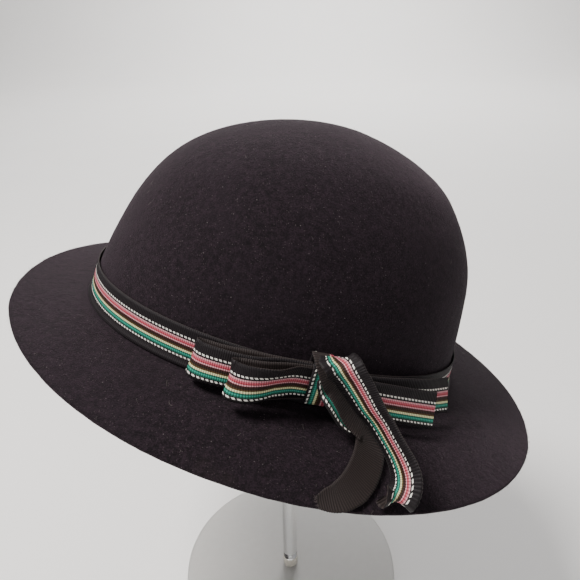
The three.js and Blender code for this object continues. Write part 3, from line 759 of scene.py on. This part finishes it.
def folded(up, low, radius):
    """How the ribbon's width is laid: the part between the two shares is shown, and each border beyond
    turns back on an arc of the given radius. Gives the share, the side from 1 at the upper shown edge
    to -1 at the lower one, the way past that edge and the way back from the face."""
    share = PLACES[(PLACES > 0) & (PLACES < 1)]
    past_up = np.linspace(0, up, 9) if up > 0 else np.zeros(1)
    past_low = np.linspace(low, 1, 9) if low < 1 else np.ones(1)
    share = np.concatenate([past_up, share[(share > up + 0.01) & (share < low - 0.01)], past_low])
    side = 1 - 2 * np.clip((share - up) / (low - up), 0, 1)
    beyond = np.maximum(np.maximum(up - share, share - low), 0) * RIBBON_WIDTH
    angle = np.minimum(beyond / radius, math.pi)
    past = radius * np.sin(angle) - np.maximum(beyond - math.pi * radius, 0)
    return share, side, np.where(share < up, past, -past), radius * (1 - np.cos(angle))


def ribbon_shell(centre, across, face, half, ribs, section, curl, closed=False):
    """Thin closed strip: for each place along and across it, the centre plus the width's share plus the
    curl along the face, with round ribs on both sides, a picot at the end of each rib and raised white
    floats on the face. curl is an array of depths along by across."""
    share, side, past, back_way = section
    count = len(share)
    wave = rib_wave(ribs)[:, None]
    picot = np.where((share == 0) | (share == 1), 1.0, 0.0)[None] * wave * 0.16
    reach = (half[:, None] + picot) * side[None] + past[None]
    height = curl - back_way[None]
    skin = centre[:, None] + across[:, None] * reach[..., None] + face[:, None] * height[..., None]
    along = np.gradient(skin, axis=0)
    if closed:
        along[0] = along[-1] = (skin[1] - skin[-2]) / 2
    lean = unit(np.cross(along, -np.gradient(skin, axis=1)))
    thick = (CLOTH / 2 + 0.08 * (wave - 0.5)) * np.ones_like(curl)
    front = skin + lean * (thick + 0.13 * dash_wave(ribs, share))[..., None]
    back = skin - lean * thick[..., None]
    rows = len(centre)
    ring = np.concatenate([front, back[:, ::-1]], 1)
    columns = 2 * count
    last = rows - 1 if closed else rows
    points = ring[:last].reshape(-1, 3)
    faces = grid_faces(last, columns, wrap_rows=closed)[:, ::-1]
    i, j = np.divmod(faces, columns)
    seam = (i.max(1) - i.min(1) > 1)[:, None] & (i == 0)
    u = ribs[np.where(seam, last, i)]
    v = np.concatenate([share, 2 + share[::-1]])[j]
    jump = v.max(1) - v.min(1) > 1.5
    edge = np.where(j.min(1) == count - 1, 2 + share[-1], 2 + share[0])
    v = np.where(jump[:, None], edge[:, None], v)
    if not closed:
        cap = np.arange(count - 1)
        start = np.stack([cap, cap + 1, columns - 2 - cap, columns - 1 - cap], 1)
        finish = ((rows - 1) * columns + start)[:, ::-1]
        faces = np.concatenate([faces, start, finish])
        u = np.concatenate([u, np.full(start.shape, ribs[0]), np.full(start.shape, ribs[-1])])
        v = np.concatenate([v, np.full((2 * len(start), 4), 2.5)])
    return points, faces, np.stack([u, v], -1).reshape(-1, 2)


def band_rows(turns, lengths):
    """Stages of the felt at the given lengths up from the band's foot, for each turn."""
    coarse = np.arange(97) * TAU / 96
    stages = np.linspace(BAND_FOOT, 0.55, 500)
    found = []
    for turn in coarse:
        path = felt_top(np.full_like(stages, turn), stages)
        run = np.concatenate([[0], np.cumsum(np.linalg.norm(np.diff(path, axis=0), axis=1))])
        found.append(np.interp(lengths, run, stages))
    found = np.array(found)
    return np.stack([np.interp(turns % TAU, coarse, found[:, k]) for k in range(len(lengths))], 1)


def ribbon_band():
    """Ribbon round the root of the crown: its rows follow the felt's stages, a little off the felt, and
    the upper edge stands off a little more. The ribs are shared out evenly by length round the hat."""
    steps = 3
    dense = np.linspace(0, TAU, 1441)
    ring = felt_top(dense, np.full_like(dense, 1.0))
    run = np.concatenate([[0], np.cumsum(np.linalg.norm(np.diff(ring, axis=0), axis=1))])
    count = 2 * int(round(run[-1] / RIB / 2))
    turns = np.interp(np.linspace(0, run[-1], count * steps + 1), run, dense)
    section = (PLACES, 1 - 2 * PLACES, np.zeros_like(PLACES), np.zeros_like(PLACES))
    stages = band_rows(turns, (1 - PLACES) * RIBBON_WIDTH)
    turn = np.broadcast_to(turns[:, None], stages.shape)
    normal = felt_normal(turn, stages)
    surface = felt_top(turn, stages)
    loose = 0.22 + 0.5 * (1 - PLACES[None]) ** 3 + 0.10 * (1 + wander(surface, 30.0, 11))
    skin = surface + normal * (GAP + CLOTH / 2 + loose)[..., None]
    upward = unit(skin[:, 0] - skin[:, -1])
    forward = np.gradient(skin.mean(1), axis=0)
    forward[0] = forward[-1] = skin[1].mean(0) - skin[-2].mean(0)
    outward = unit(np.cross(forward, upward))
    half = np.linalg.norm(skin[:, 0] - skin[:, -1], axis=1) / 2
    centre = (skin[:, 0] + skin[:, -1]) / 2
    curl = ((skin - centre[:, None]) * outward[:, None]).sum(-1)
    ribs = np.arange(len(turns)) / steps
    points, faces, uv = ribbon_shell(centre, upward, outward, half, ribs, section, curl, True)
    piece = mesh_piece("band", on_stand(points), faces, uv)
    finished(piece, RIBBON_LOOK, ["ribbon_band"])
    return piece


def row_places(rows):
    """Middle, way across and width for each row of a ribbon table."""
    t = np.array(rows, float)
    turn = np.radians(t[:, 0])
    nx, ny = root_normal(turn)
    away = np.stack([nx, ny, np.zeros_like(nx)], -1)
    up = np.array([0.0, 0, 1])
    along = np.cross(up, away)
    middle = brim_point(turn, t[:, 1] * LAYER + t[:, 2] * BRIM_BOW_SIDE)
    middle = middle + up * (t[:, 3] * RIBBON_WIDTH)[:, None]
    across = unit(along * t[:, 4:5] + away * t[:, 5:6] + up * t[:, 6:7])
    return middle, across, t[:, 7] * RIBBON_WIDTH


def root_chord(a, b):
    """Square root of the distance between points."""
    return np.maximum(np.linalg.norm(a - b, axis=1), 1e-8)[:, None] ** 0.5


def spline(points, places, closed=False):
    """Catmull-Rom curve whose knots are spaced by the square roots of the chords."""
    n = len(points)
    i = np.minimum(np.floor(places).astype(int), n - 1 if closed else n - 2)
    t = (places - i)[:, None]
    if closed:
        p0, p1, p2, p3 = (points[(i + k) % n] for k in (-1, 0, 1, 2))
    else:
        wide = np.concatenate([[2 * points[0] - points[1]], points, [2 * points[-1] - points[-2]]])
        p0, p1, p2, p3 = (wide[i + k] for k in (0, 1, 2, 3))
    d0, d1, d2 = root_chord(p0, p1), root_chord(p1, p2), root_chord(p2, p3)
    t1 = ((p1 - p0) / d0 - (p2 - p0) / (d0 + d1) + (p2 - p1) / d1) * d1
    t2 = ((p2 - p1) / d1 - (p3 - p1) / (d1 + d2) + (p3 - p2) / d2) * d1
    return p1 + t1 * t + (3 * (p2 - p1) - 2 * t1 - t2) * t ** 2 + (2 * (p1 - p2) + t1 + t2) * t ** 3


def ribbon_path(rows, closed=False):
    """Curve of the ribbon, shared out evenly by ribs: centre, way across, face, half width, ribs."""
    middle, across, width = row_places(rows)
    n = len(rows)
    spans = n if closed else n - 1
    dense = np.linspace(0, spans, spans * 80 + 1)
    if closed:
        dense = np.minimum(dense, n - 1e-9)
    path = spline(middle, dense, closed)
    run = np.concatenate([[0], np.cumsum(np.linalg.norm(np.diff(path, axis=0), axis=1))])
    ribs = max(int(round(run[-1] / RIB)), 4)
    places = np.interp(np.linspace(0, run[-1], ribs * RIB_STEPS + 1), run, dense)
    centre = spline(middle, places, closed)
    tangent = np.gradient(centre, axis=0)
    if closed:
        tangent[0] = tangent[-1] = centre[1] - centre[-2]
    tangent = unit(tangent)
    way = spline(across, places, closed)
    way = unit(way - tangent * (way * tangent).sum(1, keepdims=True))
    face = np.cross(tangent, way)
    widths = np.append(width, width[0]) if closed else width
    half = np.interp(places, np.arange(len(widths)), widths) / 2
    return centre, way, face, half, np.arange(len(places)) / RIB_STEPS, float(run[-1])


def loose_ribbon(name, node, rows, curl, section, closed=False):
    """One strip of the bow from its table, with its cupping given as a function of the place along (0
    to 1) and across (1 at the upper shown edge to -1 at the lower one)."""
    centre, way, face, half, ribs, length = ribbon_path(rows, closed)
    s = np.linspace(0, 1, len(centre))[:, None]
    depth = curl(s, section[1][None]) * np.ones((len(centre), len(section[1])))
    points, faces, uv = ribbon_shell(centre, way, face, half, ribs, section, depth, closed)
    piece = mesh_piece(name, on_stand(points), faces, uv)
    finished(piece, RIBBON_LOOK, [node])
    return piece


# The striped border beside the turned tail: where it begins and ends along the tail, its greatest
# width, how far it reaches under the tail and how far behind the tail it lies.
SLIVER_START, SLIVER_END = 0.14, 0.42
SLIVER_WIDTH, SLIVER_UNDER, SLIVER_BEHIND = 2.5, 2.2, 0.75
SLIVER_UPPER, SLIVER_CUT, SLIVER_TURN = 0.60, 0.56, 0.35


def turned_ribbon():
    """The turned tail, plain back up, and the striped border that shows along its left edge where the
    gathered ribbon is doubled under itself: its width grows and shrinks as the sine of half a turn."""
    section = folded(0.0, 1.0, TUCK)
    centre, way, face, half, ribs, length = ribbon_path(TURNED_TAIL)
    s = np.linspace(0, 1, len(centre))[:, None]
    depth = tail_cup(s, section[1][None]) * np.ones((len(centre), len(section[1])))
    tail = ribbon_shell(centre, way, face, half, ribs, section, depth)
    shown = (s[:, 0] > SLIVER_START) & (s[:, 0] < SLIVER_END)
    t = (s[shown, 0] - SLIVER_START) / (SLIVER_END - SLIVER_START)
    out = SLIVER_WIDTH * np.sin(math.pi * t ** 0.8) ** 0.7
    beside = (half[shown] + (out - SLIVER_UNDER) / 2)[:, None]
    middle = centre[shown] + way[shown] * beside + face[shown] * SLIVER_BEHIND
    border = folded(SLIVER_UPPER, SHOWN, SLIVER_TURN)
    border = tuple(column[border[0] > SLIVER_CUT] for column in border)
    flat = np.zeros((shown.sum(), len(border[0])))
    wide = (out + SLIVER_UNDER) / 2
    sliver = ribbon_shell(middle, -way[shown], -face[shown], wide, ribs[shown], border, flat)
    points = np.concatenate([tail[0], sliver[0]])
    faces = np.concatenate([tail[1], sliver[1] + len(tail[0])])
    uv = np.concatenate([tail[2], sliver[2]])
    piece = mesh_piece("turned_tail_ribbon", on_stand(points), faces, uv)
    finished(piece, RIBBON_LOOK, ["turned_tail"])


def level(s, side):
    """No cupping."""
    return np.zeros(np.broadcast(s, side).shape)


def gathered(s, side):
    """Cupping that is deepest at the knot and fades along the loop: depth times one half less the side
    squared."""
    near = np.exp(-((s * 5) ** 2)) + np.exp(-(((1 - s) * 5) ** 2))
    return 0.35 * near * (0.5 - side ** 2)


def hollowed(s, side):
    """Cupping of the front loop: its outer wall is pushed in along its middle, deepest half way
    from the fold to the knot."""
    return gathered(s, side) - 1.1 * np.exp(-(((s - 0.80) / 0.11) ** 2)) * (0.8 - (side + 0.1) ** 2)


def gathered_end(s, side):
    """Cupping of a short end: deepest at the knot."""
    return 0.35 * np.exp(-((s * 3) ** 2)) * (0.5 - side ** 2)


def tail_cup(s, side):
    """Tail arched over its length, its borders turned down."""
    return 0.45 * (0.45 - side ** 2) * np.minimum(s * 6, 1)


# Stand

def turned_piece(name, profile, material, replaced, steps):
    """Profile of radius and height pairs carried round the axis, closed by fans at its two ends."""
    profile = np.array(profile, float)
    angle = np.arange(steps) * TAU / steps
    ring = np.stack([profile[:, :1] * np.cos(angle), profile[:, :1] * np.sin(angle),
                     np.broadcast_to(profile[:, 1:], (len(profile), steps))], -1)
    points = np.concatenate([ring.reshape(-1, 3), [[0, 0, profile[0, 1]], [0, 0, profile[-1, 1]]]])
    piece = mesh_piece(name, points, grid_faces(len(profile), steps)[:, ::-1])
    close_rings(piece, len(profile), steps, True)
    return finished(piece, material, replaced)


def rounded(radius, low, high, bevel, steps=6):
    """Profile of a disc with quarter round edges, and a dense ring beside each edge to keep it crisp."""
    a = np.linspace(0, math.pi / 2, steps)
    under = [(radius - bevel + bevel * math.sin(t), low + bevel - bevel * math.cos(t)) for t in a]
    over = [(radius - bevel + bevel * math.cos(t), high - bevel + bevel * math.sin(t)) for t in a]
    inner = radius - bevel - min(0.4, bevel)
    return [(inner * 0.5, low), (inner, low), *under, *over, (inner, high), (inner * 0.5, high)]


def stand():
    """Disc foot, socket, rod and domed cap. The socket and the rod come almost down to what carries
    them."""
    socket_foot = BASE_HEIGHT + GAP
    rod_foot = socket_foot + SOCKET_HEIGHT + GAP
    cap_foot = SEAT_HEIGHT - (CAP_CURVE - math.sqrt(CAP_CURVE ** 2 - CAP_RADIUS ** 2)) - CAP_EDGE
    closer = GAP * 0.9
    foot = rounded(BASE_RADIUS, 0, BASE_HEIGHT, 0.8)
    socket = rounded(SOCKET_RADIUS, socket_foot - closer, socket_foot + SOCKET_HEIGHT, 0.5)
    rod = rounded(ROD_RADIUS, rod_foot - closer, cap_foot - GAP * 0.1, 0.4)
    dome_centre = SEAT_HEIGHT - CAP_CURVE
    radii = np.linspace(CAP_RADIUS - 0.3, 0.6, 24)
    dome = [(r, dome_centre + math.sqrt(CAP_CURVE ** 2 - r ** 2)) for r in radii]
    under = [(CAP_RADIUS * 0.5, cap_foot), (CAP_RADIUS - 0.8, cap_foot), (CAP_RADIUS, cap_foot + 0.8)]
    cap = [*under, (CAP_RADIUS, dome[0][1] - 0.4), *dome]
    turned_piece("foot_disc", foot, FROSTED_LOOK, ["stand_base"], 192)
    turned_piece("rod_socket", socket, SOCKET_LOOK, ["stand_socket"], 64)
    turned_piece("rod", rod, CLEAR_LOOK, ["stand_rod"], 64)
    turned_piece("crown_rest", cap, CLEAR_LOOK, ["stand_cap"], 96)


# Room

FLOOR_NEAR, FLOOR_FAR, FLOOR_SIDE, FLOOR_CURVE, WALL_TOP, BELOW = -3000, 2200, 4000, 900, 4500, 0.4
WORLD_LIGHT, WORLD_SEEN = 0.38, 0.30
HAT_MIDDLE = (0, 0, 0.25)

# Lamps: name, place, what they point at and size in metres, power in watts, colour.
LAMPS = [
    ("overhead", (-0.52, -0.12, 1.30), HAT_MIDDLE, 0.42, 25.0, (1.0, 0.97, 0.94)),
    ("front", (-0.7, -1.2, 0.9), HAT_MIDDLE, 1.2, 2.0, (0.95, 0.97, 1.0)),
    ("backdrop", (0.2, 2.0, 1.6), (0.1, 2.1, 0), 1.6, 52.0, (1.0, 0.99, 0.98)),
]

CAMERA_PLACE, CAMERA_PITCH, CAMERA_ROLL = (0.00326, -0.27678, 0.38558), 0.4981, -0.0184
CAMERA_LENS, CAMERA_SENSOR = 35.32, 36.0


def room():
    """Pale floor that rises in a wide curve behind, a pale world, and soft lamps: one overhead to the
    left, a weak one from the front and a broad one over the floor behind."""
    bend = np.linspace(0.1, math.pi / 2, 16)
    y = np.concatenate([np.linspace(FLOOR_NEAR, FLOOR_FAR, 20), FLOOR_FAR + FLOOR_CURVE * np.sin(bend)])
    z = np.concatenate([np.zeros(20), FLOOR_CURVE - FLOOR_CURVE * np.cos(bend)])
    y, z = np.append(y, FLOOR_FAR + FLOOR_CURVE), np.append(z, WALL_TOP)
    x = np.linspace(-FLOOR_SIDE, FLOOR_SIDE, 12)
    points = np.stack(np.broadcast_arrays(x, y[:, None], z[:, None] - BELOW), -1).reshape(-1, 3)
    floor = mesh_piece("floor", points, grid_faces(len(y), 12, wrap_columns=False)[:, ::-1])
    material, n, surface = new_material("pale_floor")
    place = n.add("ShaderNodeTexCoord").outputs["Object"]
    tone = n.noise(place, 6.0, 2.0, 0.5)
    n.set(surface, "Base Color", n.blend(tone, (243, 241, 239), (247, 245, 243)))
    constants(surface, Roughness=0.9)
    floor.data.materials.append(material)
    world = bpy.data.worlds.new("soft_room")
    bpy.context.scene.world = world
    world.use_nodes = True
    sky = Nodes(world.node_tree)
    background = world.node_tree.nodes["Background"]
    background.inputs["Color"].default_value = (0.97, 0.97, 0.98, 1)
    seen = sky.add("ShaderNodeLightPath").outputs["Is Camera Ray"]
    sky.set(background, "Strength", sky.line(WORLD_LIGHT, seen, WORLD_SEEN))
    for name, place, aim, size, power, colour in LAMPS:
        lamp = bpy.data.lights.new(name, "AREA")
        lamp.shape, lamp.size, lamp.energy, lamp.color = "DISK", size, power, colour
        lit = bpy.data.objects.new(name, lamp)
        bpy.context.scene.collection.objects.link(lit)
        toward = Vector(aim) - Vector(place)
        lit.location = place
        lit.rotation_mode = "QUATERNION"
        lit.rotation_quaternion = toward.to_track_quat("-Z", "Y")


def camera():
    """The photograph's camera: in front of the bow's side, looking down and a little rolled."""
    data = bpy.data.cameras.new("camera")
    data.sensor_width, data.lens = CAMERA_SENSOR, CAMERA_LENS
    data.clip_start, data.clip_end = 0.01, 50.0
    taker = bpy.data.objects.new("camera", data)
    bpy.context.scene.collection.objects.link(taker)
    aim = Matrix.Rotation(math.pi / 2 - CAMERA_PITCH, 4, "X") @ Matrix.Rotation(CAMERA_ROLL, 4, "Z")
    taker.matrix_world = Matrix.Translation(CAMERA_PLACE) @ aim
    bpy.context.scene.camera = taker


camera()
room()
felt_hat()
ribbon_band()
TUCKED, WHOLE, WRAPPED = folded(0.0, SHOWN, TUCK), folded(0.0, 1.0, TUCK), folded(0.37, SHOWN, 0.42)
loose_ribbon("back_loop", "bow_back_loop", BACK_LOOP, gathered, TUCKED)
loose_ribbon("front_loop", "bow_front_loop", FRONT_LOOP, hollowed, TUCKED)
loose_ribbon("back_end", "bow_back_end", BACK_END, gathered_end, TUCKED)
loose_ribbon("front_end", "bow_front_end", FRONT_END, gathered_end, TUCKED)
loose_ribbon("knot_wrap", "bow_knot", KNOT[::-1], level, WRAPPED, True)
loose_ribbon("striped_tail_ribbon", "striped_tail", STRIPED_TAIL, tail_cup, WHOLE)
turned_ribbon()
frayed("back_end_threads", BACK_END)
frayed("front_end_threads", FRONT_END)
frayed("turned_tail_threads", TURNED_TAIL)
felt_fibres()
stand()
